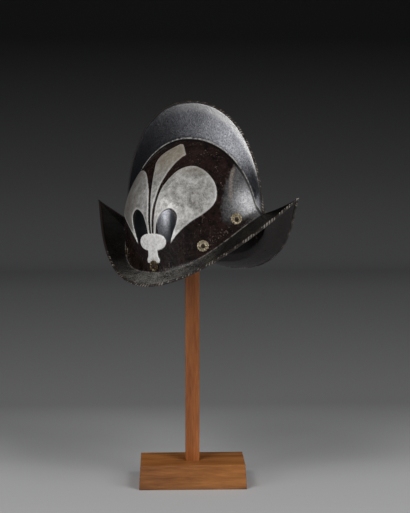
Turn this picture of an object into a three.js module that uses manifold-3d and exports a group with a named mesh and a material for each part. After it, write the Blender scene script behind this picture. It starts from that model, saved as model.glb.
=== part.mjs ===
// Comb morion with a raised fleur-de-lys on each side, on a plain wooden stand.
// Millimetres, +Z up. The origin is the centre of the stand's underside, and the block's long sides face -Y and +Y.
import * as THREE from "three";
import { mergeVertices } from "three/addons/utils/BufferGeometryUtils.js";
import Module from "manifold-3d";

const wasm = await Module();
wasm.setup();

// Driving sizes of the helmet. In its own frame x points to the front, y across and z up,
// and z = 0 is the lowest point of the brim's edge.
const helmet = {
  sheet: 1.3,
  skullFrontLength: 123.2,
  skullBackLength: 120.3,
  skullHalfWidth: 88.5,
  planPower: 0.733,
  widestHeight: 67.2,
  crownHeight: 206.4,
  crownFrontPower: 2.16,
  crownBackPower: 1.9,
  ogivePower: 2.8,
  joinSideHeight: 15.2,
  joinFrontHeight: 90,
  joinBackHeight: 68,
  joinFrontPower: 2,
  joinBackPower: 3.8,
  frontTip: 185,
  backTip: 179.2,
  frontTipHeight: 109.9,
  backTipHeight: 119.1,
  brimHalfWidth: 122,
  brimRisePower: 1.94,
  brimTaperPower: 1.08,
  brimSag: 2,
  brimBead: 2.2,
  combFrontLength: 123.7,
  combBackLength: 121.8,
  combFrontSpring: 93,
  combBackSpring: 74,
  combHeight: 257.8,
  combFrontPower: 2.28,
  combBackPower: 2.14,
  combRootHalf: 8.6,
  combBead: 1.9,
};
const relief = {
  height: 1.2,
  root: 0.6,
  axisX: -10,
  lean: 0.08,
  leanFrom: 90,
  leanReach: 60,
  backPetalRise: 0.93,
  backPetalFrom: 120,
};
const fastening = {
  angles: [33.2, 58.1, 94.9, 134, 162],
  aboveJoin: [18.7, 15.1, 9.4, 14, 14],
  rosetteRadius: 8.6,
  rosetteThickness: 1.2,
  shankRadius: 1.5,
  headRadius: 3,
  headHeight: 2,
  peenHeight: 0.8,
};
const stand = {
  baseLength: 159,
  baseWidth: 85,
  baseHeight: 36,
  batter: 2.2,
  postSide: 20.8,
  postSocket: 22,
  restRadius: 38,
  restHeight: 44,
  restSocket: 20,
};
const pose = { x: 6.9, y: -5, z: 312.3, turn: -37.5, tilt: -4.2, lean: 0.76 };
const clearance = 0.3;

// How finely the surfaces are faceted.
const stations = 36;
const skullRows = 7;
const brimRows = [0.33, 0.68];
const roundFacets = 16;
const shankFacets = 12;
const facetTolerance = 0.02;

const steelLook = new THREE.MeshStandardMaterial({ color: 0x17120f, roughness: 0.35, metalness: 0.4 });
const brassLook = new THREE.MeshStandardMaterial({ color: 0x8a6f3c, roughness: 0.45, metalness: 1 });
const ironLook = new THREE.MeshStandardMaterial({ color: 0x2a211b, roughness: 0.5, metalness: 0.9 });
const baseLook = new THREE.MeshStandardMaterial({ color: 0x7a4a2c, roughness: 0.6, metalness: 0 });
const postLook = new THREE.MeshStandardMaterial({ color: 0x6d3a22, roughness: 0.6, metalness: 0 });

// Turning surfaces into solids and back.
function toSolid(geometry) {
  const plain = new THREE.BufferGeometry();
  plain.setAttribute("position", geometry.getAttribute("position").clone());
  if (geometry.index) plain.setIndex(geometry.index.clone());
  const merged = mergeVertices(plain, 1e-4);
  const corners = merged.index.array;
  const kept = [];
  for (let k = 0; k < corners.length; k += 3) {
    const [a, b, c] = [corners[k], corners[k + 1], corners[k + 2]];
    if (a !== b && b !== c && c !== a) kept.push(a, b, c);
  }
  return new wasm.Manifold(new wasm.Mesh({
    numProp: 3,
    vertProperties: new Float32Array(merged.getAttribute("position").array),
    triVerts: new Uint32Array(kept),
  }));
}

function toGeometry(solid) {
  const mesh = solid.getMesh();
  const geometry = new THREE.BufferGeometry();
  geometry.setAttribute("position", new THREE.BufferAttribute(new Float32Array(mesh.vertProperties), 3));
  geometry.setIndex(new THREE.BufferAttribute(new Uint32Array(mesh.triVerts), 1));
  geometry.computeVertexNormals();
  return geometry;
}

// A closed solid from a grid of points in the half y >= 0 and its mirror image. The grid's four borders lie on y = 0.
function mirroredGrid(grid) {
  const columns = grid[0].length;
  const points = [];
  for (const side of [1, -1]) {
    for (const row of grid) for (const p of row) points.push(p.x, side * p.y, p.z);
  }
  const faces = [];
  const half = grid.length * columns;
  for (let i = 0; i + 1 < grid.length; i++) {
    for (let j = 0; j + 1 < columns; j++) {
      const a = i * columns + j;
      const b = a + 1;
      const c = a + columns + 1;
      const d = a + columns;
      faces.push(a, b, c, a, c, d);
      faces.push(half + a, half + c, half + b, half + a, half + d, half + c);
    }
  }
  const geometry = new THREE.BufferGeometry();
  geometry.setAttribute("position", new THREE.Float32BufferAttribute(points, 3));
  geometry.setIndex(faces);
  return geometry;
}

// The skull: a boat-shaped plan, a rounded outline along the comb and a pointed arch across it.
function skullAt(inset) {
  const halfWidth = helmet.skullHalfWidth - inset;
  const height = helmet.crownHeight - inset - helmet.widestHeight;
  const length = (x) => (x > 0 ? helmet.skullFrontLength : helmet.skullBackLength) - inset;
  const crownPower = (x) => (x > 0 ? helmet.crownFrontPower : helmet.crownBackPower);
  const along = (x) => Math.min(Math.abs(x) / length(x), 1);
  const crown = (x) => height * Math.pow(1 - Math.pow(along(x), crownPower(x)), 1 / crownPower(x));
  const plan = (x) => halfWidth * Math.pow(1 - along(x) ** 2, helmet.planPower);
  const join = (x) => {
    const end = x > 0 ? helmet.joinFrontHeight : helmet.joinBackHeight;
    const power = x > 0 ? helmet.joinFrontPower : helmet.joinBackPower;
    return helmet.joinSideHeight + (end - helmet.joinSideHeight) * Math.pow(along(x), power);
  };
  // How far the skull reaches at a height, towards the front or the back.
  const reachAt = (direction, z) => {
    const share = Math.min(1, Math.max(0, (z - helmet.widestHeight) / height));
    const power = crownPower(direction);
    return length(direction) * Math.pow(1 - Math.pow(share, power), 1 / power);
  };
  const across = (x, z) => {
    if (z <= helmet.widestHeight) return plan(x);
    const share = Math.min(1, (z - helmet.widestHeight) / Math.max(crown(x), 1e-6));
    return plan(x) * (1 - Math.pow(share, helmet.ogivePower));
  };
  const upTo = (x, y) => {
    const share = Math.max(0, 1 - y / Math.max(plan(x), 1e-6));
    return helmet.widestHeight + crown(x) * Math.pow(share, 1 / helmet.ogivePower);
  };
  // The skull ends, at the front and at the back, where its top meets the join.
  const reach = (direction) => {
    let low = 0;
    let high = length(direction);
    for (let step = 0; step < 50; step++) {
      const x = (low + high) / 2;
      if (helmet.widestHeight + crown(direction * x) > join(direction * x)) low = x;
      else high = x;
    }
    return low;
  };
  const front = reach(1);
  const back = reach(-1);
  const station = (angle) => Math.cos(angle) * (Math.cos(angle) > 0 ? front : back);
  return { station, join, across, upTo, reachAt, top: (x) => helmet.widestHeight + crown(x) };
}

const outerSkull = skullAt(0);
const innerSkull = skullAt(helmet.sheet);
const joinDrop = 0.6 * helmet.sheet;

// One section of the skull's side, from the comb's root down to the join with the brim.
function skullSection(skull, x, rootHalf, joinDrop, atEnd) {
  const joinHeight = skull.join(x) - joinDrop;
  if (atEnd) return Array.from({ length: skullRows + 1 }, () => new THREE.Vector3(x, 0, skull.top(x)));
  const joinHalf = skull.across(x, joinHeight);
  const root = Math.min(rootHalf, 0.6 * joinHalf);
  const rootHeight = skull.upTo(x, root);
  const section = [];
  for (let k = 0; k <= skullRows; k++) {
    const share = 1 - Math.pow(1 - k / skullRows, 1.25);
    const z = rootHeight + (joinHeight - rootHeight) * (0.55 * share + 0.45 * (k / skullRows) ** 1.6);
    const y = k === 0 ? root : skull.across(x, z);
    section.push(new THREE.Vector3(x, y, z));
  }
  return section;
}

// The brim: its edge is low at the sides and rises to a point at the front and at the back.
const angleAt = (i) => Math.PI * i / stations;
function edgePoint(angle) {
  const share = 0.7 * Math.cos(angle) + 0.3 * (1 - 2 * angle / Math.PI);
  const tip = share > 0 ? helmet.frontTip : helmet.backTip;
  const tipHeight = share > 0 ? helmet.frontTipHeight : helmet.backTipHeight;
  const half = helmet.brimHalfWidth * Math.pow(Math.max(0, 1 - share * share), helmet.brimTaperPower);
  return new THREE.Vector3(share * tip, half, tipHeight * Math.pow(Math.abs(share), helmet.brimRisePower));
}
function brimPoint(angle, share) {
  const x = outerSkull.station(angle);
  const from = new THREE.Vector3(x, outerSkull.across(x, outerSkull.join(x)), outerSkull.join(x));
  if (Math.sin(angle) < 1e-6) from.y = 0;
  const p = from.lerp(edgePoint(angle), share);
  p.z -= helmet.brimSag * 4 * share * (1 - share);
  return p;
}
function brimFrame(angle, share) {
  const atEnd = Math.sin(angle) < 1e-6;
  const small = 1e-3;
  const near = Math.min(Math.max(angle, small), Math.PI - small);
  const along = brimPoint(near + small / 2, share).sub(brimPoint(near - small / 2, share)).normalize();
  const outward = brimPoint(near, share).sub(brimPoint(near, share - 0.01)).normalize();
  if (atEnd) {
    along.set(0, 1, 0);
    outward.setY(0).normalize();
    if (outward.x * Math.cos(angle) < 0) outward.negate();
  }
  outward.addScaledVector(along, -outward.dot(along)).normalize();
  const up = new THREE.Vector3().crossVectors(along, outward).normalize();
  if (up.z < 0) up.negate();
  return { outward, up };
}

// The brim's upper side, the bead along its edge and its underside, as one run of points.
function brimSection(angle) {
  const run = [];
  for (const share of brimRows) run.push(brimPoint(angle, share));
  const edge = edgePoint(angle);
  const { outward, up } = brimFrame(angle, 1);
  const radius = Math.sin(angle) < 1e-6 ? 0.6 * helmet.brimBead : Math.min(helmet.brimBead, 0.4 * edge.y);
  const centre = edge.clone().addScaledVector(outward, -radius);
  for (const turn of [140, 65, -10, -80, -145]) {
    const a = THREE.MathUtils.degToRad(turn);
    run.push(centre.clone().addScaledVector(outward, radius * Math.cos(a)).addScaledVector(up, radius * Math.sin(a)));
  }
  for (const share of [...brimRows].reverse()) {
    run.push(brimPoint(angle, share).addScaledVector(brimFrame(angle, share).up, -helmet.sheet));
  }
  if (Math.sin(angle) < 1e-6) for (const p of run) p.y = 0;
  return run;
}

// The comb: a hollow fold of the same sheet that stands along the middle of the skull, with a bead on its crest.
function crestPoint(angle) {
  const c = Math.cos(angle);
  const power = c > 0 ? helmet.combFrontPower : helmet.combBackPower;
  const spring = c > 0 ? helmet.combFrontSpring : helmet.combBackSpring;
  const length = c > 0 ? helmet.combFrontLength : helmet.combBackLength;
  const x = length * Math.sign(c) * Math.pow(Math.abs(c), 2 / power);
  const rise = (helmet.combHeight - spring) * Math.pow(Math.sin(angle), 2 / power);
  return new THREE.Vector3(x, 0, spring + Math.max(0, rise));
}

function shellSection(i) {
  const angle = i === stations ? Math.PI : angleAt(i);
  const atEnd = i === 0 || i === stations;
  const x = outerSkull.station(angle);
  const innerX = innerSkull.station(angle);
  const outside = skullSection(outerSkull, x, helmet.combRootHalf, 0, atEnd);
  const inside = skullSection(innerSkull, innerX, helmet.combRootHalf - helmet.sheet, joinDrop, atEnd);
  const crest = crestPoint(angle);
  const root = outside[0];
  const rise = crest.clone().sub(new THREE.Vector3(root.x, 0, root.z));
  const height = rise.length();
  rise.normalize();
  const bead = atEnd ? 0 : Math.min(helmet.combBead, 0.3 * root.y);
  const beadDepth = Math.min(helmet.combBead, 0.15 * height);
  const run = [crest];
  for (const [down, half] of [[0.4, 0.85], [1.3, 1], [2.1, 0.62]]) {
    const p = crest.clone().addScaledVector(rise, -down * beadDepth);
    p.y = half * bead;
    run.push(p);
  }
  const neck = run[run.length - 1];
  for (const share of [0.62, 0.3, 0.1]) {
    const p = new THREE.Vector3(root.x, 0, root.z).lerp(new THREE.Vector3(neck.x, 0, neck.z), share);
    p.y = neck.y + (root.y - neck.y) * Math.pow(1 - share, 1.5);
    run.push(p);
  }
  run.push(...outside, ...brimSection(angle), ...[...inside].reverse());
  const innerRoot = inside[0];
  const hollow = Math.max(0, height - 4 * helmet.combBead) * Math.min(1, 1.6 * Math.sin(angle));
  for (const share of [0.5, 1]) {
    const p = new THREE.Vector3(innerRoot.x, 0, innerRoot.z).addScaledVector(rise, hollow * share);
    p.y = innerRoot.y * Math.pow(1 - share, 1.5) * 0.9;
    run.push(p);
  }
  if (atEnd) for (const p of run) p.y = 0;
  return run;
}

// The fleur-de-lys, as outlines beside its upright axis: distance from the axis towards the front, then height.
// The stalk of the middle petal and the collar are half outlines.
const middleStalk = [
  [0, 70], [1.2, 74], [1.4, 84], [1.8, 97], [2.8, 110], [5, 122], [8.2, 139], [11.2, 149], [15, 160], [20, 169.5],
];
const middleEnd = [
  [24.5, 175.5], [30, 179.5], [19.5, 188], [9.7, 194.4], [2.5, 195.5], [-4.5, 191.5], [-14.5, 184.5], [-19.3, 178.5],
];
const sidePetal = [
  [3.6, 66], [4, 76], [4.8, 90], [5.7, 102], [6.8, 112.8], [8.8, 123.4], [11.6, 134], [15.8, 141.8], [22, 150.8],
  [29.2, 158], [38.5, 162.4], [48.5, 163.8], [59.5, 161.5], [70, 155.5], [79.5, 147], [86.5, 137.5], [90.5, 127],
  [91.5, 117], [89.8, 109], [84.5, 101.5], [75.5, 94], [65, 87.5], [57.5, 82], [50, 76], [41.5, 68], [35.5, 61],
  [30.5, 54.5], [32.5, 63], [36.5, 73.5], [40.8, 84], [42.5, 94.5], [39, 101.5], [32, 105.5], [24, 103.5], [17, 98],
  [13.5, 92], [10.2, 84], [7.6, 72], [6.6, 66],
];
const collar = [
  [0, 72], [9, 71.5], [17.5, 69.3], [23.2, 65], [25, 59.5], [23, 53.2], [17, 48.8], [9.3, 46.8],
  [9.6, 40], [12.2, 34], [11, 29], [0, 28],
];

// The ornament leans a little to the front, most of all near its axis.
function leaned([x, z]) {
  const share = Math.max(0, 1 - Math.abs(x) / relief.leanReach);
  return new THREE.Vector2(x + relief.lean * Math.max(0, z - relief.leanFrom) * share, z);
}
function outlinePrism(points) {
  const shape = new THREE.Shape(points.map(leaned));
  const prism = new THREE.ExtrudeGeometry(shape, { depth: 1.2 * helmet.skullHalfWidth, bevelEnabled: false });
  prism.rotateX(Math.PI / 2);
  prism.translate(relief.axisX, 0, 0);
  return toSolid(prism);
}
function wholeOutline(half, end = []) {
  const mirrored = half.filter(([x]) => x > 0).map(([x, z]) => [-x, z]).reverse();
  return [...half, ...end, ...mirrored];
}

// A slab that follows the skull's near side, from inside the sheet to the height of the relief.
function reliefSlab() {
  const outerFaces = [];
  const innerFaces = [];
  const margin = 3;
  for (let i = margin; i <= stations - margin; i++) {
    const angle = angleAt(i);
    const x = outerSkull.station(angle);
    const section = skullSection(outerSkull, x, helmet.combRootHalf, 0, false);
    const small = 0.5;
    const normals = section.map((p) => {
      const alongX = outerSkull.across(p.x + small, p.z) - outerSkull.across(p.x - small, p.z);
      const alongZ = outerSkull.across(p.x, p.z + small) - outerSkull.across(p.x, p.z - small);
      return new THREE.Vector3(-alongX / (2 * small), 1, -alongZ / (2 * small)).normalize();
    });
    outerFaces.push(section.map((p, k) => p.clone().addScaledVector(normals[k], relief.height)));
    innerFaces.push(section.map((p, k) => p.clone().addScaledVector(normals[k], -relief.root)));
  }
  const columns = outerFaces[0].length;
  const ring = [];
  for (let i = 0; i < outerFaces.length; i++) ring.push([...outerFaces[i], ...[...innerFaces[i]].reverse()]);
  const points = ring.flat().flatMap((p) => [p.x, -p.y, p.z]);
  const loop = 2 * columns;
  const faces = [];
  for (let i = 0; i + 1 < ring.length; i++) {
    for (let j = 0; j < loop; j++) {
      const a = i * loop + j;
      const b = i * loop + (j + 1) % loop;
      faces.push(a, b + loop, b, a, a + loop, b + loop);
    }
  }
  const last = (ring.length - 1) * loop;
  for (let j = 0; j + 1 < columns; j++) {
    const k = loop - 1 - j;
    faces.push(j, k - 1, k, j, j + 1, k - 1);
    faces.push(last + j, last + k, last + k - 1, last + j, last + k - 1, last + j + 1);
  }
  const geometry = new THREE.BufferGeometry();
  geometry.setAttribute("position", new THREE.Float32BufferAttribute(points, 3));
  geometry.setIndex(faces);
  return toSolid(geometry);
}

// Seats of the lining rivets: a point on the skull, above the join, and the direction out of it.
const seats = [];
for (const side of [-1, 1]) {
  fastening.angles.forEach((degrees, k) => {
    const angle = THREE.MathUtils.degToRad(degrees);
    const joinHeight = outerSkull.join(outerSkull.station(angle));
    const z = joinHeight + fastening.aboveJoin[k];
    const x = outerSkull.reachAt(Math.cos(angle), z) * Math.cos(angle);
    const y = outerSkull.across(x, z);
    const small = 0.5;
    const slopeX = (outerSkull.across(x + small, z) - outerSkull.across(x - small, z)) / (2 * small);
    const slopeZ = (outerSkull.across(x, z + small) - outerSkull.across(x, z - small)) / (2 * small);
    const normal = new THREE.Vector3(-slopeX, 1, -slopeZ).normalize();
    seats.push({
      name: `${side < 0 ? "right" : "left"}_${k + 1}`,
      place: new THREE.Vector3(x, side * y, z),
      normal: new THREE.Vector3(normal.x, side * normal.y, normal.z),
    });
  });
}
function onSeat(geometry, seat) {
  const turn = new THREE.Quaternion().setFromUnitVectors(new THREE.Vector3(0, 0, 1), seat.normal);
  geometry.applyQuaternion(turn);
  geometry.translate(seat.place.x, seat.place.y, seat.place.z);
  return toSolid(geometry);
}
// A turned piece about +Z from a profile of radius and height that starts and ends on the axis.
function turned(profile, facets) {
  const lathe = new THREE.LatheGeometry(profile.map(([r, h]) => new THREE.Vector2(r, h)), facets);
  lathe.rotateX(Math.PI / 2);
  return lathe;
}

// The shell, forged in one piece with its relief, drilled for the rivets.
const grid = Array.from({ length: stations + 1 }, (_, i) => shellSection(i));
let shell = toSolid(mirroredGrid(grid));
const slab = reliefSlab();
const backPetal = sidePetal.map(([x, z]) => {
  const above = Math.max(0, z - relief.backPetalFrom);
  return [-x, z - (1 - relief.backPetalRise) * above];
}).reverse();
const ornament = outlinePrism(wholeOutline(middleStalk, middleEnd))
  .add(outlinePrism(wholeOutline(collar))).add(outlinePrism(sidePetal)).add(outlinePrism(backPetal));
const cutReach = 6;
function roundCut(radius, facets, seat) {
  return onSeat(turned([[0, -cutReach], [radius, -cutReach], [radius, cutReach], [0, cutReach]], facets), seat);
}
// The sheet is left flat where the lowest rosette covers the collar's foot.
const footSeat = seats[2];
const seatClear = roundCut(fastening.rosetteRadius + 2 * clearance, 2 * shankFacets, footSeat);
const raised = slab.intersect(ornament).subtract(seatClear);
shell = shell.add(raised).add(raised.mirror([0, 1, 0]));
const bore = fastening.shankRadius + clearance;
for (const seat of seats) shell = shell.subtract(roundCut(bore, shankFacets, seat));
shell = shell.simplify(facetTolerance);

const helmetGroup = new THREE.Group();
helmetGroup.name = "helmet";
helmetGroup.rotation.order = "ZYX";
helmetGroup.rotation.z = THREE.MathUtils.degToRad(pose.turn);
helmetGroup.rotation.y = THREE.MathUtils.degToRad(pose.tilt);
helmetGroup.rotation.x = THREE.MathUtils.degToRad(pose.lean);
helmetGroup.position.set(pose.x, pose.y, pose.z);

function addPiece(group, name, solid, look) {
  const piece = new THREE.Mesh(toGeometry(solid), look);
  piece.name = name;
  group.add(piece);
}
addPiece(helmetGroup, "shell", shell, steelLook);

// Under each rivet head lies a thin brass rosette with a scalloped rim. The rivet's shank is peened inside.
const rosetteBottom = clearance;
const rosetteTop = rosetteBottom + fastening.rosetteThickness;
for (const seat of seats) {
  const rim = fastening.rosetteRadius;
  const rosette = turned([[bore, rosetteBottom], [rim, rosetteBottom], [rim, rosetteBottom + 0.5],
    [0.72 * rim, rosetteTop], [0.45 * rim, rosetteTop - 0.4], [bore, rosetteTop], [bore, rosetteBottom]], roundFacets);
  const position = rosette.getAttribute("position");
  for (let k = 0; k < position.count; k++) {
    const x = position.getX(k);
    const y = position.getY(k);
    const r = Math.hypot(x, y);
    const turn = Math.round(Math.atan2(y, x) / (2 * Math.PI / roundFacets));
    if (r > 0.9 * rim && turn % 2 !== 0) position.setXYZ(k, 0.93 * x, 0.93 * y, position.getZ(k));
  }
  addPiece(helmetGroup, `rosette_${seat.name}`, onSeat(rosette, seat), brassLook);
  const headBottom = rosetteTop + clearance;
  const peenTop = -helmet.sheet - clearance;
  const shank = fastening.shankRadius;
  const head = fastening.headRadius;
  const rivet = turned([[0, peenTop - fastening.peenHeight], [0.8 * head, peenTop - fastening.peenHeight],
    [head, peenTop - 0.2], [head, peenTop], [shank, peenTop], [shank, headBottom], [head, headBottom],
    [0.85 * head, headBottom + 0.55 * fastening.headHeight], [0.4 * head, headBottom + fastening.headHeight],
    [0, headBottom + fastening.headHeight]], shankFacets);
  addPiece(helmetGroup, `rivet_${seat.name}`, onSeat(rivet, seat), ironLook);
}

// The stand: a block with slightly sloping sides, a square post let into it, and a rest that fills the crown.
function frustum(lowLength, lowWidth, highLength, highWidth, height) {
  const box = new THREE.BoxGeometry(1, 1, height);
  const position = box.getAttribute("position");
  for (let k = 0; k < position.count; k++) {
    const high = position.getZ(k) > 0;
    position.setXYZ(k, position.getX(k) * (high ? highLength : lowLength),
      position.getY(k) * (high ? highWidth : lowWidth), position.getZ(k) + height / 2);
  }
  return toSolid(box);
}
function block(side, bottom, top) {
  const box = new THREE.BoxGeometry(side, side, top - bottom);
  box.translate(0, 0, (top + bottom) / 2);
  return toSolid(box);
}
const socketSide = stand.postSide + 2 * clearance;
const base = frustum(stand.baseLength, stand.baseWidth, stand.baseLength - 2 * stand.batter,
  stand.baseWidth - 2 * stand.batter, stand.baseHeight)
  .subtract(block(socketSide, stand.baseHeight - stand.postSocket - clearance, stand.baseHeight + 1));

// The space inside the skull, clear of the sheet, gives the rest its top.
const plugSkull = skullAt(helmet.sheet + clearance);
const plugGrid = Array.from({ length: stations + 1 }, (_, i) => {
  const x = plugSkull.station(angleAt(i));
  const atEnd = i === 0 || i === stations;
  const section = skullSection(plugSkull, x, helmet.combRootHalf - helmet.sheet, joinDrop, atEnd);
  const run = [new THREE.Vector3(x, 0, section[0].z), ...section, new THREE.Vector3(x, 0, section[skullRows].z)];
  if (atEnd) for (const p of run) p.y = 0;
  return run;
});
helmetGroup.updateMatrix();
const plug = toSolid(mirroredGrid(plugGrid).applyMatrix4(helmetGroup.matrix));
const crown = new THREE.Vector3(0, 0, helmet.crownHeight - helmet.sheet - clearance).applyMatrix4(helmetGroup.matrix);
const restBottom = crown.z - stand.restHeight;
const restRound = turned([[0, restBottom], [stand.restRadius - 3, restBottom], [stand.restRadius, restBottom + 3],
  [stand.restRadius, crown.z + 5], [0, crown.z + 5]], 28);
const postTop = restBottom + stand.restSocket;
const rest = plug.intersect(toSolid(restRound)).subtract(block(socketSide, restBottom - 1, postTop + clearance));
const post = block(stand.postSide, stand.baseHeight - stand.postSocket, postTop);

const standGroup = new THREE.Group();
standGroup.name = "stand";
addPiece(standGroup, "stand_base", base, baseLook);
addPiece(standGroup, "stand_post", post, postLook);
addPiece(standGroup, "stand_rest", rest, baseLook);

const part = new THREE.Group();
part.name = "morion_on_stand";
part.add(helmetGroup, standGroup);

export default part;
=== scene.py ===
import math
import bmesh
import bpy
import numpy as np
from mathutils import Matrix, Vector, noise


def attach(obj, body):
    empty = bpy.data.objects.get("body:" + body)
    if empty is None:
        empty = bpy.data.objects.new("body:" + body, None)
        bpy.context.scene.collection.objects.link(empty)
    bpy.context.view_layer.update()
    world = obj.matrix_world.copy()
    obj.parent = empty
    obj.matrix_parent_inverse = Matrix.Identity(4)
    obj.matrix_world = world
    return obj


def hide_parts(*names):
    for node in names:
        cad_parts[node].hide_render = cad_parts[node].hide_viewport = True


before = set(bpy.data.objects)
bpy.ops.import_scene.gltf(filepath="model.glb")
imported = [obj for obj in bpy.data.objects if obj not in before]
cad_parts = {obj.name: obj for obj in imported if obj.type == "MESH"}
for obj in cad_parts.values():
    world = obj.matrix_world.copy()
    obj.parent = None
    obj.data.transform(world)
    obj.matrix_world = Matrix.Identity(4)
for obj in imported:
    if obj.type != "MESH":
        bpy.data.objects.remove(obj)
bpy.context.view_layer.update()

# Base: a plain block of light brown hardwood with its grain along its length, sawn with slightly
# sloping sides, sanded and waxed. Its sharp edges are eased, and the post is let into its top.

class Shades:
    """A material's nodes, added one at a time to the shader that they feed."""

    def __init__(self, name, **sockets):
        self.material = bpy.data.materials.new(name)
        self.material.use_nodes = True
        self.tree = self.material.node_tree
        self.surface = self.tree.nodes["Principled BSDF"]
        for socket, value in sockets.items():
            self.surface.inputs[socket.replace("_", " ").title()].default_value = value

    def add(self, kind, settings=(), **inputs):
        node = self.tree.nodes.new(kind)
        for name, value in dict(settings).items():
            setattr(node, name, value)
        for name, value in inputs.items():
            self.feed(value, node.inputs[name.replace("_", " ").title()])
        return node

    def feed(self, value, socket):
        if isinstance(value, bpy.types.NodeSocket):
            self.tree.links.new(value, socket)
        else:
            socket.default_value = value

    def places(self, stretch=(1, 1, 1)):
        """Places on the object, stretched along an axis for grain."""
        where = self.add("ShaderNodeTexCoord").outputs["Object"]
        return self.add("ShaderNodeMapping", Vector=where, Scale=stretch).outputs["Vector"]

    def place_along(self, axis):
        """How far along one axis a place on the object lies, in metres."""
        where = self.add("ShaderNodeTexCoord").outputs["Object"]
        return self.add("ShaderNodeSeparateXYZ", Vector=where).outputs[axis]

    def cloud(self, grain, detail=3.0, stretch=(1, 1, 1), roughness=0.55):
        """Soft random patches about a given size in metres."""
        vector = self.places(stretch)
        settings = {"Scale": 1 / grain, "Detail": detail, "Roughness": roughness}
        return self.add("ShaderNodeTexNoise", Vector=vector, **settings).outputs["Fac"]

    def blend(self, factor, *stops):
        """Colours or greys that follow a factor: pairs of position and value."""
        ramp = self.add("ShaderNodeValToRGB", Fac=factor)
        spare = ramp.color_ramp.elements
        while len(spare) < len(stops):
            spare.new(0.5)
        for element, (position, value) in zip(spare, stops):
            element.position = position
            element.color = (*value, 1) if isinstance(value, tuple) else (value, value, value, 1)
        return ramp.outputs["Color"]

    def mix(self, factor, first, second):
        """The first colour where the factor is 0 and the second where it is 1."""
        node = self.tree.nodes.new("ShaderNodeMix")
        node.data_type = "RGBA"
        self.feed(factor, node.inputs["Factor"])
        for value, socket in ((first, node.inputs[6]), (second, node.inputs[7])):
            self.feed((*value, 1) if isinstance(value, tuple) else value, socket)
        return node.outputs[2]

    def chain(self, operation, result, *values):
        """A number taken through one operation with each of the others in turn."""
        for value in values:
            node = self.tree.nodes.new("ShaderNodeMath")
            node.operation = operation
            self.feed(result, node.inputs[0])
            self.feed(value, node.inputs[1])
            result = node.outputs[0]
        return result

    def plus(self, *values):
        return self.chain("ADD", *values)

    def less(self, first, second):
        return self.chain("SUBTRACT", first, second)

    def times(self, *values):
        return self.chain("MULTIPLY", *values)

    def most(self, *values):
        return self.chain("MAXIMUM", *values)

    def between(self, value, low, high, start=0.0, end=1.0):
        """Runs from start to end while a number goes from low to high."""
        ends = {"From_Min": low, "From_Max": high, "To_Min": start, "To_Max": end}
        return self.add("ShaderNodeMapRange", Value=value, **ends).outputs["Result"]

    def line(self, distance, middle, half_width, fade):
        """1 along a line at a distance, fading to 0 beyond half its width."""
        off = self.chain("ABSOLUTE", self.less(distance, middle), 0)
        return self.between(off, half_width, half_width + fade, 1.0, 0.0)

    def measure(self, name):
        """A number stored on the mesh's points."""
        return self.add("ShaderNodeAttribute", {"attribute_name": name}).outputs["Fac"]

    def bump(self, height, depth):
        """Fine relief of a given depth in metres, from a height between 0 and 1."""
        node = self.add("ShaderNodeBump", Height=height, Distance=depth)
        self.tree.links.new(node.outputs["Normal"], self.surface.inputs["Normal"])

    def give(self, **values):
        for socket, value in values.items():
            self.feed(value, self.surface.inputs[socket.replace("_", " ").title()])
        return self.material


def oiled_wood(name, dark, light, along):
    """Straight-grained hardwood: long fine fibres, wider growth bands and small open pores."""
    wood = Shades(name)
    fibre_stretch = tuple(0.05 if axis == along else 1 for axis in "XYZ")
    band_stretch = tuple(0.12 if axis == along else 1 for axis in "XYZ")
    fibres = wood.cloud(0.0012, 4, fibre_stretch, 0.7)
    bands = wood.cloud(0.014, 3, band_stretch)
    both = wood.plus(wood.times(fibres, 0.45), wood.times(bands, 0.6))
    colour = wood.blend(both, (0.36, dark), (0.66, light))
    roughness = wood.blend(fibres, (0.3, 0.5), (0.7, 0.38))
    wood.bump(fibres, 0.00012)
    return wood.give(base_color=colour, roughness=roughness)


def ease_edges(node_name, width, material):
    """Rounds the sharp edges of a CAD node and gives it a finish."""
    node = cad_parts[node_name]
    weld = node.modifiers.new("joined corners", "WELD")
    weld.merge_threshold = 0.00002
    bevel = node.modifiers.new("eased edges", "BEVEL")
    bevel.width = width
    bevel.segments = 3
    bevel.limit_method = "ANGLE"
    bevel.harden_normals = True
    node.data.materials.clear()
    node.data.materials.append(material)
    node.data.shade_smooth()


ease_edges("stand_base", 0.0009, oiled_wood("base wood", (0.14, 0.043, 0.011), (0.43, 0.17, 0.047), "X"))

# Post: a square strip of redder hardwood with its grain upright, planed and waxed, let into the
# block at its foot and into the rest at its top.
post_wood = oiled_wood("post wood", (0.19, 0.05, 0.012), (0.48, 0.165, 0.045), "Z")
ease_edges("stand_post", 0.0008, post_wood)

# Rest: a turned piece of the post's wood, hidden in the crown. Its rounded top follows the skull,
# and the helmet hangs on it by its own weight.
ease_edges("stand_rest", 0.0006, post_wood)

# Shell: skull, comb and brim, raised from one sheet of steel 1.3 mm thick. The skull has a pointed
# arch across and a hollow comb folded up along its middle, and the brim rises to a point at each end.
helmet_place = Matrix.Translation((0.0069, -0.005, 0.3123))
helmet_place @= Matrix.Rotation(math.radians(-37.5), 4, "Z")
helmet_place @= Matrix.Rotation(math.radians(-4.2), 4, "Y")
helmet_place @= Matrix.Rotation(math.radians(0.76), 4, "X")

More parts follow.
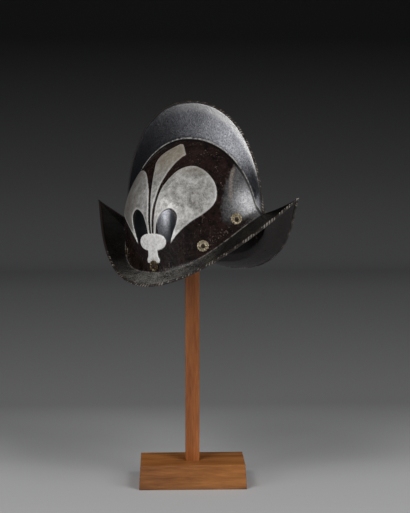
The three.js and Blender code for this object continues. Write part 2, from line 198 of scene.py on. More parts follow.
# Sizes in the helmet's own frame, in millimetres, with x towards its front. Each tip of the brim has
# a reach and a height, and the powers give the arches their shape.
sheet = 1.3
skull_front = 123.2
skull_back = 120.3
skull_half_width = 88.5
skull_top = 206.4
widest_height = 67.2
front_power = 2.16
back_power = 1.9
side_power = 2.8
side_join = 15.2
front_join = 90
back_join = 68
front_tip = 184.8, 109.8
back_tip = 178.3, 118.6
brim_half_width = 121.9
brim_dip = 2
brim_bead = 2.2
comb_top = 257.8
comb_bead = 1.9
comb_root_half = 8.6
stations = 132
skull_rows = 66
comb_rows = 18
brim_rows = 15


class Skull:
    """The skull's surface, set in from the outside by a given depth. All its sizes are millimetres."""

    def __init__(self, inset):
        self.lengths = skull_front - inset, skull_back - inset
        self.half_width = skull_half_width - inset
        self.rise = skull_top - inset - widest_height
        self.front = self.end(1)
        self.back = self.end(-1)

    def length(self, x):
        """Half the skull's length, in front where x is positive and behind where it is negative."""
        return np.where(np.asarray(x) > 0, *self.lengths)

    def along(self, x):
        return np.minimum(np.abs(x) / self.length(x), 1)

    def end(self, way):
        """How far the skull goes towards the front or the back before it runs out on the join."""
        low, high = 0.0, float(self.length(way))
        for _ in range(50):
            x = (low + high) / 2
            if self.top(way * x) > self.join(way * x):
                low = x
            else:
                high = x
        return low

    def station(self, angle):
        return math.cos(angle) * (self.front if math.cos(angle) > 0 else self.back)

    def crown(self, x):
        power = np.where(np.asarray(x) > 0, front_power, back_power)
        return self.rise * (1 - self.along(x) ** power) ** (1 / power)

    def top(self, x):
        return widest_height + self.crown(x)

    def reach(self, way, z):
        """How far the skull reaches at a height, towards the front or the back."""
        power = front_power if way > 0 else back_power
        share = min(1, max(0, (z - widest_height) / self.rise))
        return float(self.length(way)) * (1 - share ** power) ** (1 / power)

    def plan(self, x):
        return self.half_width * (1 - self.along(x) ** 2) ** 0.733

    def join(self, x):
        front = np.asarray(x) > 0
        end_rise = np.where(front, front_join, back_join) - side_join
        return side_join + end_rise * self.along(x) ** np.where(front, 2, 3.8)

    def across(self, x, z):
        share = np.clip((z - widest_height) / np.maximum(self.crown(x), 1e-6), 0, 1)
        return self.plan(x) * (1 - share ** side_power)

    def seat(self, degrees, above):
        """A rivet's place on the skull, at a height above the join, on the side where y is positive."""
        angle = math.radians(degrees)
        z = float(self.join(self.station(angle))) + above
        x = self.reach(math.cos(angle), z) * math.cos(angle)
        return np.array([x, float(self.across(x, z)), z])

    def section(self, x, root_half, join_drop, rows):
        """Points down the side at one station, evenly spaced from the comb's root to the join."""
        low = self.join(x) - join_drop
        root = min(root_half, 0.6 * float(self.across(x, low)))
        share = max(0.0, 1 - root / max(float(self.plan(x)), 1e-6))
        high = widest_height + float(self.crown(x)) * share ** (1 / side_power)
        z = high + (low - high) * np.linspace(0, 1, 400) ** 1.3
        y = self.across(x, z)
        y[0] = root
        run = np.concatenate([[0], np.cumsum(np.hypot(np.diff(y), np.diff(z)))])
        even = np.linspace(0, run[-1], rows + 1)
        z = np.interp(even, run, z)
        y = np.interp(even, run, y)
        return np.stack([np.full(rows + 1, x), y, z], 1)


outside = Skull(0)
inside = Skull(sheet)


def edge_point(angle):
    """The brim's outer edge, on the side where y is positive."""
    share = 0.7 * math.cos(angle) + 0.3 * (1 - 2 * angle / math.pi)
    tip, tip_height = front_tip if share > 0 else back_tip
    half = brim_half_width * max(0, 1 - share * share) ** 1.08
    return np.array([share * tip, half, tip_height * abs(share) ** 1.94])


def brim_point(angle, share):
    """A place on the brim between the join and the edge, where it dips a little."""
    x = outside.station(angle)
    join = np.array([x, float(outside.across(x, outside.join(x))), float(outside.join(x))])
    if math.sin(angle) < 1e-6:
        join[1] = 0
    place = join + (edge_point(angle) - join) * share
    place[2] -= brim_dip * 4 * share * (1 - share)
    return place


def brim_frame(angle, share):
    """Outward and upward directions on the brim."""
    small = 1e-3
    near = min(max(angle, small), math.pi - small)
    along = brim_point(near + small / 2, share) - brim_point(near - small / 2, share)
    outward = brim_point(near, share) - brim_point(near, share - 0.01)
    if math.sin(angle) < 1e-6:
        along = np.array([0.0, 1, 0])
        outward[1] = 0
    along /= np.linalg.norm(along)
    outward -= along * (outward @ along)
    outward /= np.linalg.norm(outward)
    up = np.cross(along, outward)
    return outward, up if up[2] > 0 else -up


def bead_centre(angle):
    """The middle of the rolled edge, just inside the brim's outline."""
    edge = edge_point(angle)
    radius = brim_bead * min(1, 0.62 + edge[1] / 40)
    return edge - brim_frame(angle, 1)[0] * radius, radius


def crest_point(angle):
    """The comb's top line: an arch that springs a little lower behind than in front."""
    c = math.cos(angle)
    length, power, spring = (123.7, 2.28, 93) if c > 0 else (-121.8, 2.14, 74)
    rise = (comb_top - spring) * max(0.0, math.sin(angle)) ** (2 / power)
    return np.array([length * abs(c) ** (2 / power), 0, spring + rise])


def shell_section(i):
    """One loop of points: crest, comb, skull, brim, round its edge, and back along the inside."""
    angle = math.pi * i / stations
    at_end = i in (0, stations)
    x = outside.station(angle)
    skull = outside.section(x, comb_root_half, 0, skull_rows)
    if at_end:
        skull[:] = (x, 0, outside.top(x))
    root = skull[0]
    crest = crest_point(angle)
    foot = np.array([root[0], 0, root[2]])
    rise = (crest - foot) / np.linalg.norm(crest - foot)
    height = np.linalg.norm(crest - foot)
    neck_half = min(1.1, 0.2 * root[1])
    neck = crest - rise * min(comb_bead, 0.3 * height)
    comb = [neck]
    for share in np.linspace(0, 1, comb_rows + 1)[:-1]:
        flare = neck_half + (root[1] - neck_half) * share ** 1.6
        comb.append(neck + (foot - neck) * share + np.array([0, flare, 0]))
    centre, _ = bead_centre(angle)
    brim = []
    for share in np.linspace(0, 1, brim_rows + 1)[1:-1]:
        place = brim_point(angle, share)
        brim.append(place + (centre - edge_point(angle)) * share ** 3)
    up = brim_frame(angle, 1)[1]
    lip = [centre + up * sheet / 2, centre - up * sheet / 2]
    under = []
    for share in np.linspace(1, 0, 9)[1:-1]:
        place = brim_point(angle, share) - brim_frame(angle, share)[1] * sheet
        under.append(place + (centre - edge_point(angle)) * share ** 3)
    inner_x = inside.station(angle)
    inner = inside.section(inner_x, comb_root_half - sheet, 0.6 * sheet, 20)[::-1]
    if at_end:
        inner[:] = (inner_x, 0, inside.top(inner_x))
    hollow = max(0, height - 4 * comb_bead) * min(1, 1.6 * math.sin(angle))
    fold = []
    for share in (0.25, 0.5, 0.75, 1):
        place = np.array([inner[-1][0], 0, inner[-1][2]]) + rise * hollow * share
        fold.append(place + np.array([0, 0.9 * inner[-1][1] * (1 - share) ** 1.5, 0]))
    run = np.concatenate([comb, skull, brim, lip, under, inner, fold])
    for corner in (comb_rows + 1, comb_rows + 1 + skull_rows):
        for _ in range(2):
            before = run[corner - 3:corner + 2]
            after = run[corner - 1:corner + 4]
            run[corner - 2:corner + 3] = (run[corner - 2:corner + 3] + (before + after) / 2) / 2
    if at_end:
        run[:, 1] = 0
    return run


sections = np.array([shell_section(i) for i in range(stations + 1)])
row_count = sections.shape[1]

# Fleur-de-lys: raised from behind on each side of the skull, a little over 1 mm high, and left bright
# when the ground was blacked. It has a broad middle petal, two curled ones, a collar and a foot.
axis_x = -10
relief_height = 1.2
shoulder = 1.6
foot_rosette = 94.9, 9.4
flat_radius = 9.2
oval_lean = 0.4
oval_from_axis, oval_height = 25.5, 83
oval_half_width, oval_half_height = 15, 24
middle_stalk = [
    (0, 70), (1.2, 74), (1.4, 84), (1.8, 97), (2.8, 110),
    (5, 122), (8.2, 139), (11.2, 149), (15, 160), (20, 169.5),
]
middle_end = [
    [(20, 169.5), (24.5, 175.5), (30, 179.5)],
    [(30, 179.5), (19.5, 188), (9.7, 194.4), (2.5, 195.5)],
    [(2.5, 195.5), (-4.5, 191.5), (-14.5, 184.5), (-19.3, 178.5), (-20, 169.5)],
]
outer_curl = [
    (3.6, 66), (4, 76), (4.8, 90), (5.7, 102), (6.8, 112.8), (8.8, 123.4), (11.6, 134),
    (15.8, 141.8), (22, 150.8), (29.2, 158), (38.5, 162.4), (48.5, 163.8), (59.5, 161.5),
    (70, 155.5), (79.5, 147), (86.5, 137.5), (90.5, 127), (91.5, 117), (89.8, 109),
    (84.5, 101.5), (75.5, 94), (65, 87.5), (57.5, 82), (50, 76), (41.5, 68), (35.5, 61),
    (30.5, 54.5),
]
inner_curl = [
    (30.5, 54.5), (32.5, 63), (36.5, 73.5), (40.8, 84), (42.5, 94.5), (39, 101.5), (32, 105.5),
    (24, 103.5), (17, 98), (13.5, 92), (10.2, 84), (7.6, 72), (6.6, 66),
]
curled_petal = [outer_curl, inner_curl, [(6.6, 66), (3.6, 66)]]
half_collar = [
    [(0, 72), (9, 71.5), (17.5, 69.3), (23.2, 65), (25, 59.5), (23, 53.2), (17, 48.8), (9.3, 46.8)],
    [(9.3, 46.8), (9.6, 40), (12.2, 34), (11, 29)],
    [(11, 29), (0, 28)],
]


def smooth_run(points, steps=5):
    """A smooth curve through points."""
    p = np.array([points[0], *points, points[-1]], float)
    curve = []
    for a, b, c, d in zip(p, p[1:], p[2:], p[3:]):
        for t in np.arange(steps) / steps:
            curve.append(0.5 * (2 * b + (c - a) * t + (2 * a - 5 * b + 4 * c - d) * t * t
                                + (3 * b - a - 3 * c + d) * t ** 3))
    return curve


def outline(runs):
    """One loop from runs that meet at corners."""
    return np.array([q for run in runs for q in smooth_run(run)])


def mirrored(runs):
    """The same runs on the other side of the ornament's axis, in the order that closes the loop."""
    return [[(-x, z) for x, z in run[::-1]] for run in runs[::-1]]


def leaned(loop):
    """The ornament leans a little to the front, most of all near its axis."""
    x, z = loop.T
    lean = 0.08 * np.maximum(0, z - 90) * np.maximum(0, 1 - np.abs(x) / 60)
    return np.stack([x + lean, z], 1)


petal = outline(curled_petal)

# The petal behind the axis is the front one turned over, a little lower at its top.
back_petal = petal * (-1, 1)
back_petal[:, 1] -= 0.07 * np.maximum(0, petal[:, 1] - 120)
middle_petal = outline([middle_stalk, *middle_end, *mirrored([middle_stalk])])
collar = outline([*half_collar, *mirrored(half_collar)])
fleur = [leaned(loop) for loop in (middle_petal, petal, back_petal, collar)]


def depth_inside(points):
    """How far points lie inside the ornament's outline, in millimetres, and less than 0 outside it."""
    best = np.full(len(points), -1e3)
    for loop in fleur:
        a, b = loop, np.roll(loop, -1, 0)
        ab = b - a
        nearest = np.full(len(points), 1e6)
        crossings = np.zeros(len(points), int)
        for start, step, end in zip(a, ab, b):
            length = step @ step
            if length < 1e-9:
                continue
            t = np.clip(((points - start) @ step) / length, 0, 1)
            nearest = np.minimum(nearest, np.hypot(*(points - start - t[:, None] * step).T))
            spans = (start[1] > points[:, 1]) != (end[1] > points[:, 1])
            if spans.any() and abs(step[1]) > 1e-12:
                meets = start[0] + step[0] * (points[:, 1] - start[1]) / step[1]
                crossings += spans & (points[:, 0] < meets)
        best = np.maximum(best, np.where(crossings % 2 == 1, nearest, -nearest))
    return best


def skull_normals(x, z):
    """Outward directions of the skull, on the side where y is positive."""
    small = 0.5
    slope_x = (outside.across(x + small, z) - outside.across(x - small, z)) / (2 * small)
    slope_z = (outside.across(x, z + small) - outside.across(x, z - small)) / (2 * small)
    n = np.stack([-slope_x, np.ones_like(x), -slope_z], 1)
    return n / np.linalg.norm(n, axis=1)[:, None]


def make_shell():
    """The whole sheet as one closed mesh, finer round the ornament's outline."""
    build = bmesh.new()
    on_skull = build.verts.layers.float.new("on_skull")
    outer = build.verts.layers.float.new("outer")
    below_crest = build.verts.layers.float.new("below_crest")
    above_root = build.verts.layers.float.new("above_root")
    past_join = build.verts.layers.float.new("past_join")
    first_skull = comb_rows + 1
    last_skull = first_skull + skull_rows
    last_outer = last_skull + brim_rows - 1
    for side in (1, -1):
        grid = []
        for i, section in enumerate(sections):
            line = []
            run = np.concatenate([[0], np.cumsum(np.linalg.norm(np.diff(section, axis=0), axis=1))])
            for j, (x, y, z) in enumerate(section):
                v = build.verts.new((x, side * y, z))
                v[on_skull] = float(first_skull + 2 < j < last_skull - 2 and 4 < i < stations - 4)
                v[outer] = float(j < last_outer)
                v[below_crest] = run[j]
                v[above_root] = run[first_skull] - run[j]
                v[past_join] = run[j] - run[last_skull]
                line.append(v)
            grid.append(line)
        for i in range(stations):
            for j in range(row_count - 1):
                corners = [grid[i][j], grid[i][j + 1], grid[i + 1][j + 1], grid[i + 1][j]]
                build.faces.new(corners[::side])
    bmesh.ops.remove_doubles(build, verts=build.verts, dist=0.0004)
    for spacing in (3.2, 1.6):
        build.verts.ensure_lookup_table()
        places = np.array([v.co for v in build.verts])
        edge_depth = np.abs(depth_inside(places[:, [0, 2]] - (axis_x, 0)))
        close = edge_depth < spacing * 1.3
        chosen = [e for e in build.edges
                  if all(v[on_skull] > 0.99 for v in e.verts) and any(close[v.index] for v in e.verts)]
        bmesh.ops.subdivide_edges(build, edges=chosen, cuts=1, use_grid_fill=True)
        build.verts.index_update()
    bmesh.ops.triangulate(build, faces=[f for f in build.faces if len(f.verts) > 4])
    mesh = bpy.data.meshes.new("shell")
    build.to_mesh(mesh)
    build.free()
    return mesh


shell_mesh = make_shell()
count = len(shell_mesh.vertices)
places = np.empty(count * 3)
shell_mesh.vertices.foreach_get("co", places)
places = places.reshape(-1, 3)
skull_flag = np.empty(count)
shell_mesh.attributes["on_skull"].data.foreach_get("value", skull_flag)
outer_flag = np.empty(count)
shell_mesh.attributes["outer"].data.foreach_get("value", outer_flag)
here = skull_flag > 0.5
side = np.sign(places[:, 1])
x, z = places[here, 0], places[here, 2]
places[here, 1] = side[here] * outside.across(x, z)
inside_depth = np.full(count, -30.0)
inside_depth[here] = depth_inside(np.stack([x - axis_x, z], 1))
foot_seat = outside.seat(*foot_rosette)
from_seat = np.hypot(x - foot_seat[0], z - foot_seat[2])
step_up = np.clip((inside_depth[here] + 0.3) / shoulder, 0, 1) * np.clip(from_seat - flat_radius, 0, 1)
lift = relief_height * step_up * step_up * (3 - 2 * step_up)

# The dark ovals that the curled petals close round swell up by 1 mm in their middle.
from_axis = x - axis_x
oval_reach = ((np.abs(from_axis - oval_lean) - oval_from_axis) / oval_half_width) ** 2
oval_reach += ((z - oval_height) / oval_half_height) ** 2
oval = np.clip(1 - oval_reach, 0, 1) * (inside_depth[here] < 0.2)
lift = np.maximum(lift, oval)
normals = skull_normals(x, z)
normals[:, 1] *= side[here]
places[here] += normals * lift[:, None]

# Hammer marks about 26 and 9 mm apart leave the outside of the sheet 0.1 to 0.2 mm uneven.
uneven = np.array([noise.noise(Vector(p) / 26) + 0.4 * noise.noise(Vector(p) / 9) for p in places])
shell_mesh.vertices.foreach_set("co", places.ravel())
shell_mesh.update()
facing = np.empty(count * 3)
shell_mesh.vertices.foreach_get("normal", facing)
places += facing.reshape(-1, 3) * (0.16 * uneven * (outer_flag > 0.5))[:, None]
pose = np.array(helmet_place)
millimetre = 0.001


def in_row_frame(points):
    """Points of the helmet's frame, in millimetres, as points of the whole object, in metres."""
    return (np.asarray(points) * millimetre) @ pose[:3, :3].T + pose[:3, 3]


# What the finish follows: the ornament, the ovals, and places along and up the helmet in millimetres.
in_oval = np.zeros(count)
in_oval[here] = oval > 0
stored = {
    "inside_depth": inside_depth,
    "in_oval": in_oval,
    "outer_side": (outer_flag > 0.5).astype(float),
    "along": places[:, 0],
    "height": places[:, 2],
}
shell_mesh.vertices.foreach_set("co", in_row_frame(places).ravel())
for name, values in stored.items():
    shell_mesh.attributes.new(name, "FLOAT", "POINT").data.foreach_set("value", values)
shell_mesh.shade_smooth()
shell = bpy.data.objects.new("morion_shell", shell_mesh)
bpy.context.collection.objects.link(shell)

# Finish of the shell: the comb is darkened grey steel, the skull and the brim are lacquered brown-black,
# and the ornament is polished. The lacquer is scratched, and worn through at the edges and in front.
# Highlights, sheen and shade are also painted into the colours of the comb, ovals, ornament and edges.
finish = Shades("lacquered and bright steel")
clouding = finish.cloud(0.016, 6, roughness=0.62)
mottle = finish.cloud(0.0045, 5, roughness=0.7)
grain = finish.cloud(0.0013, 3, roughness=0.65)
brushing = finish.cloud(0.0014, 4, (1, 1, 0.6), 0.7)
along = finish.measure("along")
height = finish.measure("height")
below_crest = finish.measure("below_crest")
above_root = finish.measure("above_root")
past_join = finish.measure("past_join")
outer_side = finish.measure("outer_side")

# Ground of the skull: lacquer with reddish clouds, and with fine scratches and small chips in patches,
# one of them round the two rosettes in front.
lacquer_tone = finish.plus(finish.times(clouding, 0.55), finish.times(mottle, 0.45))
lacquer_colour = finish.blend(lacquer_tone, (0.4, (0.0035, 0.0025, 0.002)), (0.62, (0.021, 0.011, 0.009)))
scratches = finish.between(finish.cloud(0.0018, 2, (1, 1, 0.12), 0.5), 0.66, 0.7)
knocked = finish.times(finish.line(along, 78, 14, 10), finish.line(past_join, -14, 5, 7))
patches = finish.most(finish.between(finish.cloud(0.019, 2), 0.46, 0.58), knocked)
chipping = finish.plus(finish.cloud(0.0024, 2, roughness=0.5), finish.times(knocked, 0.06))
chips = finish.between(chipping, 0.655, 0.69)
scuffs = finish.times(finish.most(chips, scratches), patches, outer_side)
ground_colour = finish.mix(finish.times(scuffs, 0.8), lacquer_colour, (0.17, 0.125, 0.105))
ground_metal = finish.times(scuffs, 0.4)

# In front of the ornament the lacquer has gone grey and thin. Close to the join it is kept dark as a
# painted shadow, save at the very front. One long rubbed streak lies where the thin part begins.
fraying = finish.times(finish.less(mottle, 0.5), 14)
thin_in_front = finish.between(finish.plus(along, fraying), 86, 101)
thin_above = finish.between(finish.plus(height, fraying), 78, 92)
# Painted shadow: dark lacquer kept along the join, short of the very front.
painted_shadow_by_join = finish.times(finish.between(past_join, -15, -8), finish.between(along, 122, 114))
thin = finish.times(thin_in_front, thin_above, finish.less(1, painted_shadow_by_join), outer_side, 0.85)
thin_colour = finish.blend(brushing, (0.35, (0.11, 0.11, 0.115)), (0.62, (0.34, 0.34, 0.345)))
ground_colour = finish.mix(thin, ground_colour, thin_colour)
ground_metal = finish.most(ground_metal, thin)
streak_middle = finish.between(height, 112, 156, 96.5, 89)
streak = finish.line(finish.less(along, streak_middle), 0, 0.9, 1.3)
streak_wear = finish.between(brushing, 0.38, 0.6, 0.1, 0.9)
streak = finish.times(streak, finish.line(height, 134, 18, 8), streak_wear)
ground_colour = finish.mix(streak, ground_colour, (0.29, 0.245, 0.205))

# Brim and comb: greyer than the skull, with the metal showing in a fine grain that fades out towards the
# brim's tips. The comb is painted darker towards the back as shade, and lighter along its crest, more so
# towards the front, as a painted highlight.
on_comb = finish.times(finish.between(above_root, 0.0, 1.0), outer_side)
on_brim = finish.times(finish.between(past_join, 0.0, 1.2), outer_side)
brim_tone = finish.plus(finish.times(grain, 0.72), finish.times(clouding, 0.28))
brim_grain_fade = finish.between(finish.chain("ABSOLUTE", along, 0), 95, 25, 0.05, 1.0)
brim_colour = finish.blend(brim_tone, (0.43, (0.005, 0.005, 0.0045)), (0.58, (0.22, 0.214, 0.193)))
brim_colour = finish.mix(brim_grain_fade, (0.008, 0.007, 0.006), brim_colour)
comb_colour = finish.blend(brushing, (0.34, (0.07, 0.071, 0.08)), (0.64, (0.25, 0.252, 0.27)))
# Painted shade: the comb darker towards the back.
comb_colour = finish.mix(finish.between(along, -90, 70, 0.6, 0.0), comb_colour, (0.03, 0.03, 0.034))
# Painted highlight: the comb lighter along its crest, more so towards the front.
crest_highlight = finish.times(finish.between(below_crest, 17, 1), finish.between(along, -60, 60, 0.0, 0.9))
comb_colour = finish.mix(crest_highlight, comb_colour, (0.6, 0.59, 0.58))
dark_colour = finish.mix(on_brim, ground_colour, brim_colour)
dark_colour = finish.mix(on_comb, dark_colour, comb_colour)
dark_metal = finish.most(ground_metal, finish.times(on_brim, 0.3), on_comb)

# Light lines just above the comb's root and along the join with the brim, partly wear and partly painted
# highlight, and beside the root line a dark line of painted shade in the crease.
root_wear_and_highlight = finish.times(finish.line(above_root, 1.9, 0.7, 0.9), finish.between(mottle, 0.38, 0.52))
join_line_breaks = finish.between(mottle, 0.36, 0.64, 0.0, 0.4)
join_wear_and_highlight = finish.times(finish.line(past_join, 0, 0.3, 0.9), join_line_breaks)
wear_and_highlight_lines = finish.times(finish.most(root_wear_and_highlight, join_wear_and_highlight), outer_side)
dark_colour = finish.mix(wear_and_highlight_lines, dark_colour, (0.42, 0.4, 0.37))
dark_metal = finish.mix(wear_and_highlight_lines, dark_metal, (0.25, 0.25, 0.25))
# Painted shade in the crease at the comb's root.
root_crease_shade = finish.line(above_root, -1.6, 1.6, 1.4)
dark_colour = finish.mix(finish.times(root_crease_shade, 0.9), dark_colour, (0.004, 0.0035, 0.003))
dark_metal = finish.times(dark_metal, finish.less(1, root_crease_shade))

# Ovals: bare steel with a painted sheen on the hinder part of the front one. The rest is painted dark as
# shade.
in_oval = finish.measure("in_oval")
behind_edge = finish.between(along, 24, 15, 0.06, 1.0)
above_foot = finish.between(height, 64, 78, 0.25, 1.0)
before_axis = finish.between(along, -20, -10, 0.1, 1.0)
oval_sheen = finish.times(behind_edge, above_foot, before_axis)
oval_sheen_colour = finish.blend(brushing, (0.35, (0.2, 0.205, 0.225)), (0.65, (0.46, 0.47, 0.5)))
oval_sheen_colour = finish.mix(oval_sheen, (0.016, 0.017, 0.021), oval_sheen_colour)
dark_colour = finish.mix(in_oval, dark_colour, oval_sheen_colour)
dark_metal = finish.most(dark_metal, in_oval)

# Ornament: polished and finely brushed, clouded by old stains, tan towards the comb, painted darker and
# browner towards the back as shade, lighter along its edge as a painted highlight, and whitest on the
# collar and the foot.
depth = finish.measure("inside_depth")
ragged = finish.plus(depth, finish.times(finish.less(mottle, 0.5), 1.1))
bright = finish.between(ragged, 0.15, 0.85)
steel_tone = finish.plus(finish.times(clouding, 0.45), finish.times(mottle, 0.3))
steel_tone = finish.plus(steel_tone, finish.times(brushing, 0.27))
steel_greys = (0.41, (0.22, 0.206, 0.186)), (0.5, (0.48, 0.465, 0.44)), (0.59, (0.78, 0.765, 0.74))
steel_colour = finish.blend(steel_tone, *steel_greys)
tan = finish.times(finish.between(height, 145, 178), finish.between(mottle, 0.36, 0.6, 1.0, 0.5))
steel_colour = finish.mix(tan, steel_colour, (0.4, 0.325, 0.225))
# Painted shade: darker and browner on the petal behind the axis.
steel_colour = finish.mix(finish.between(along, -22, -65, 0.0, 0.75), steel_colour, (0.2, 0.178, 0.152))
# Painted highlight along the ornament's raised edge, strongest low down.
painted_edge_highlight = finish.times(finish.line(depth, 1.2, 0.4, 2.4), finish.between(height, 165, 120, 0.2, 0.6))
steel_colour = finish.mix(painted_edge_highlight, steel_colour, (0.88, 0.865, 0.84))
collar_colour = finish.blend(mottle, (0.36, (0.66, 0.65, 0.63)), (0.6, (0.98, 0.97, 0.95)))
steel_colour = finish.mix(finish.between(height, 78, 70, 0.0, 0.85), steel_colour, collar_colour)
steel_metal = finish.between(height, 78, 70, 0.6, 0.15)
lacquer_gloss = finish.blend(mottle, (0.3, 0.18), (0.7, 0.3))
dark_metal_gloss = finish.blend(mottle, (0.3, 0.26), (0.7, 0.38))
dark_gloss = finish.mix(dark_metal, lacquer_gloss, dark_metal_gloss)
steel_gloss = finish.blend(steel_tone, (0.4, 0.62), (0.6, 0.48))
finish.bump(finish.plus(finish.times(grain, 0.6), mottle), 0.00022)
finish.surface.inputs["Specular IOR Level"].default_value = 0.35
shell_finish = finish.give(
    base_color=finish.mix(bright, dark_colour, steel_colour),
    metallic=finish.mix(bright, dark_metal, steel_metal),
    roughness=finish.mix(bright, dark_gloss, steel_gloss),
)
shell_mesh.materials.append(shell_finish)
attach(shell, "root")
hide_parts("shell")

# Rolled edges: the brim's edge and the comb's crest are turned over and filed into a twisted rope,
# blacked like the rest, with the lacquer worn off the ridges, more so low down, and the ridges painted
# lighter in front as a highlight.


def rope(name, centres, radii, closed, pitch):
    """A twisted bead along a line of points."""
    centres = np.array(centres, float)
    steps = np.linalg.norm(np.diff(centres, axis=0), axis=1)
    run = np.concatenate([[0], np.cumsum(steps)])
    turns = round(run[-1] / pitch)
    rings = turns * 6
    even = np.linspace(0, run[-1], rings + 1)
    line = np.stack([np.interp(even, run, centres[:, k]) for k in range(3)], 1)
    radius = np.interp(even, run, radii)
    if closed:
        line, radius, even = line[:-1], radius[:-1], even[:-1]
        ahead = np.roll(line, -1, 0) - np.roll(line, 1, 0)
    else:
        ahead = np.gradient(line, axis=0)
    ahead /= np.linalg.norm(ahead, axis=1)[:, None]
    sides = 12
    around = np.arange(sides) / sides * 2 * np.pi
    build = bmesh.new()
    ridge = build.verts.layers.float.new("ridge")
    loops = []
    for place, tangent, r, distance in zip(line, ahead, radius, even):
        across = np.cross(tangent, (0, 0, 1.0))
        across /= np.linalg.norm(across)
        up = np.cross(across, tangent)
        wave = 0.5 + 0.5 * np.cos(2 * around - 2 * np.pi * distance / pitch)
        size = r * (0.84 + 0.16 * wave ** 0.7)
        loop = []
        for a, s, w in zip(around, size, wave):
            v = build.verts.new(place + s * (math.cos(a) * across + math.sin(a) * up))
            v[ridge] = w
            loop.append(v)
        loops.append(loop)
    pairs = list(zip(loops, loops[1:] + loops[:1] if closed else loops[1:]))
    for first, second in pairs:
        for k in range(sides):
            m = (k + 1) % sides
            build.faces.new((first[k], second[k], second[m], first[m]))
    if not closed:
        build.faces.new(loops[0])
        build.faces.new(loops[-1][::-1])
    bmesh.ops.recalc_face_normals(build, faces=build.faces)
    mesh = bpy.data.meshes.new(name)
    build.to_mesh(mesh)
    build.free()
    points = np.empty(len(mesh.vertices) * 3)
    mesh.vertices.foreach_get("co", points)
    mesh.vertices.foreach_set("co", in_row_frame(points.reshape(-1, 3)).ravel())
    mesh.shade_smooth()
    piece = bpy.data.objects.new(name, mesh)
    bpy.context.collection.objects.link(piece)
    mesh.materials.append(rope_finish)
    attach(piece, "root")


rope_steel = Shades("rubbed rope edge")
rubbing = rope_steel.cloud(0.009, 4)
pits = rope_steel.cloud(0.0016, 3)
ridge_wear_and_highlight = rope_steel.blend(rubbing, (0.4, 0.25), (0.62, 1.0))
ridge_wear_and_highlight = rope_steel.times(rope_steel.measure("ridge"), ridge_wear_and_highlight)
# Painted highlight: the ridges lighter in front, on the side that the light catches.
front_highlight = rope_steel.between(rope_steel.place_along("X"), -0.05, 0.05, 0.3, 1.0)
low_down = rope_steel.between(rope_steel.place_along("Z"), 0.365, 0.34, 0.0, 0.9)
ridge_wear_and_highlight = rope_steel.times(ridge_wear_and_highlight, rope_steel.most(front_highlight, low_down))
ridge_wear_and_highlight = rope_steel.plus(ridge_wear_and_highlight, rope_steel.times(rope_steel.less(pits, 0.5), 0.8))
shown = rope_steel.blend(ridge_wear_and_highlight, (0.4, 0.0), (0.85, 1.0))
rust = rope_steel.blend(rope_steel.cloud(0.03, 3), (0.5, (0.48, 0.44, 0.38)), (0.68, (0.25, 0.17, 0.12)))
rope_steel.bump(pits, 0.0002)
rope_finish = rope_steel.give(
    base_color=rope_steel.mix(shown, (0.014, 0.010, 0.008), rust),
    metallic=rope_steel.times(shown, 0.45),
    roughness=rope_steel.blend(pits, (0.3, 0.34), (0.7, 0.5)),
)
angles = np.linspace(0, math.pi, 241)
near_edge = [bead_centre(a) for a in angles]
edge_line = [c for c, _ in near_edge] + [c * (1, -1, 1) for c, _ in near_edge[::-1]][1:]
edge_radii = [r for _, r in near_edge] + [r for _, r in near_edge[::-1]][1:]
rope("brim_rope", edge_line, 0.96 * np.array(edge_radii), True, 4.6)
crest_line = []
for a in angles:
    crest = crest_point(a)
    x = outside.station(a)
    foot = np.array([x, 0, float(outside.top(x))])
    crest_line.append(crest - (crest - foot) / np.linalg.norm(crest - foot) * comb_bead)
rope("comb_rope", crest_line, [comb_bead] * len(crest_line), False, 4.2)

# Rosettes: thin brass discs stamped with a scalloped rim, a ring of petals and a raised collar. Each
# lies under the head of a lining rivet, all round the skull just above the brim.
# Each seat is so many degrees round from the front and so many millimetres above the join.
rivet_seats = (33.2, 18.7), (58.1, 15.1), foot_rosette, (134, 14), (162, 14)


def seats():
    """Where the rivets stand: name, place and outward direction in the helmet's frame."""
    for side, word in ((-1, "right"), (1, "left")):
        for k, (degrees, above) in enumerate(rivet_seats, 1):
            place = outside.seat(degrees, above)
            normal = skull_normals(place[:1], place[2:])[0]
            yield f"{word}_{k}", place * (1, side, 1), normal * (1, side, 1)


def round_piece(name, heights, rings, sides, place, normal, material, node, ripple=None, age=0.5):
    """A turned piece on its seat, from rings of radius and height whose ends meet or are capped."""
    build = bmesh.new()
    turn = Vector((0, 0, 1)).rotation_difference(Vector(normal)).to_matrix()
    loops = []
    for radius, height in zip(rings, heights):
        loop = []
        for k in range(sides):
            a = 2 * math.pi * k / sides
            r, h = ripple(radius, height, a) if ripple else (radius, height)
            spot = turn @ Vector((r * math.cos(a), r * math.sin(a), h)) + Vector(place)
            loop.append(build.verts.new(in_row_frame(spot)))
        loops.append(loop)
    for first, second in zip(loops, loops[1:]):
        for k in range(sides):
            m = (k + 1) % sides
            build.faces.new((first[k], first[m], second[m], second[k]))
    if rings[0] == rings[-1] and heights[0] == heights[-1]:
        bmesh.ops.remove_doubles(build, verts=build.verts, dist=1e-7)
    else:
        build.faces.new(loops[0][::-1])
        build.faces.new(loops[-1])
    bmesh.ops.recalc_face_normals(build, faces=build.faces)
    mesh = bpy.data.meshes.new(name)
    build.to_mesh(mesh)
    build.free()
    ages_stored = np.full(len(mesh.vertices), age)
    mesh.attributes.new("age", "FLOAT", "POINT").data.foreach_set("value", ages_stored)
    mesh.shade_smooth()
    mesh.materials.append(material)
    piece = bpy.data.objects.new(name, mesh)
    bpy.context.collection.objects.link(piece)
    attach(piece, "root")
    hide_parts(node)


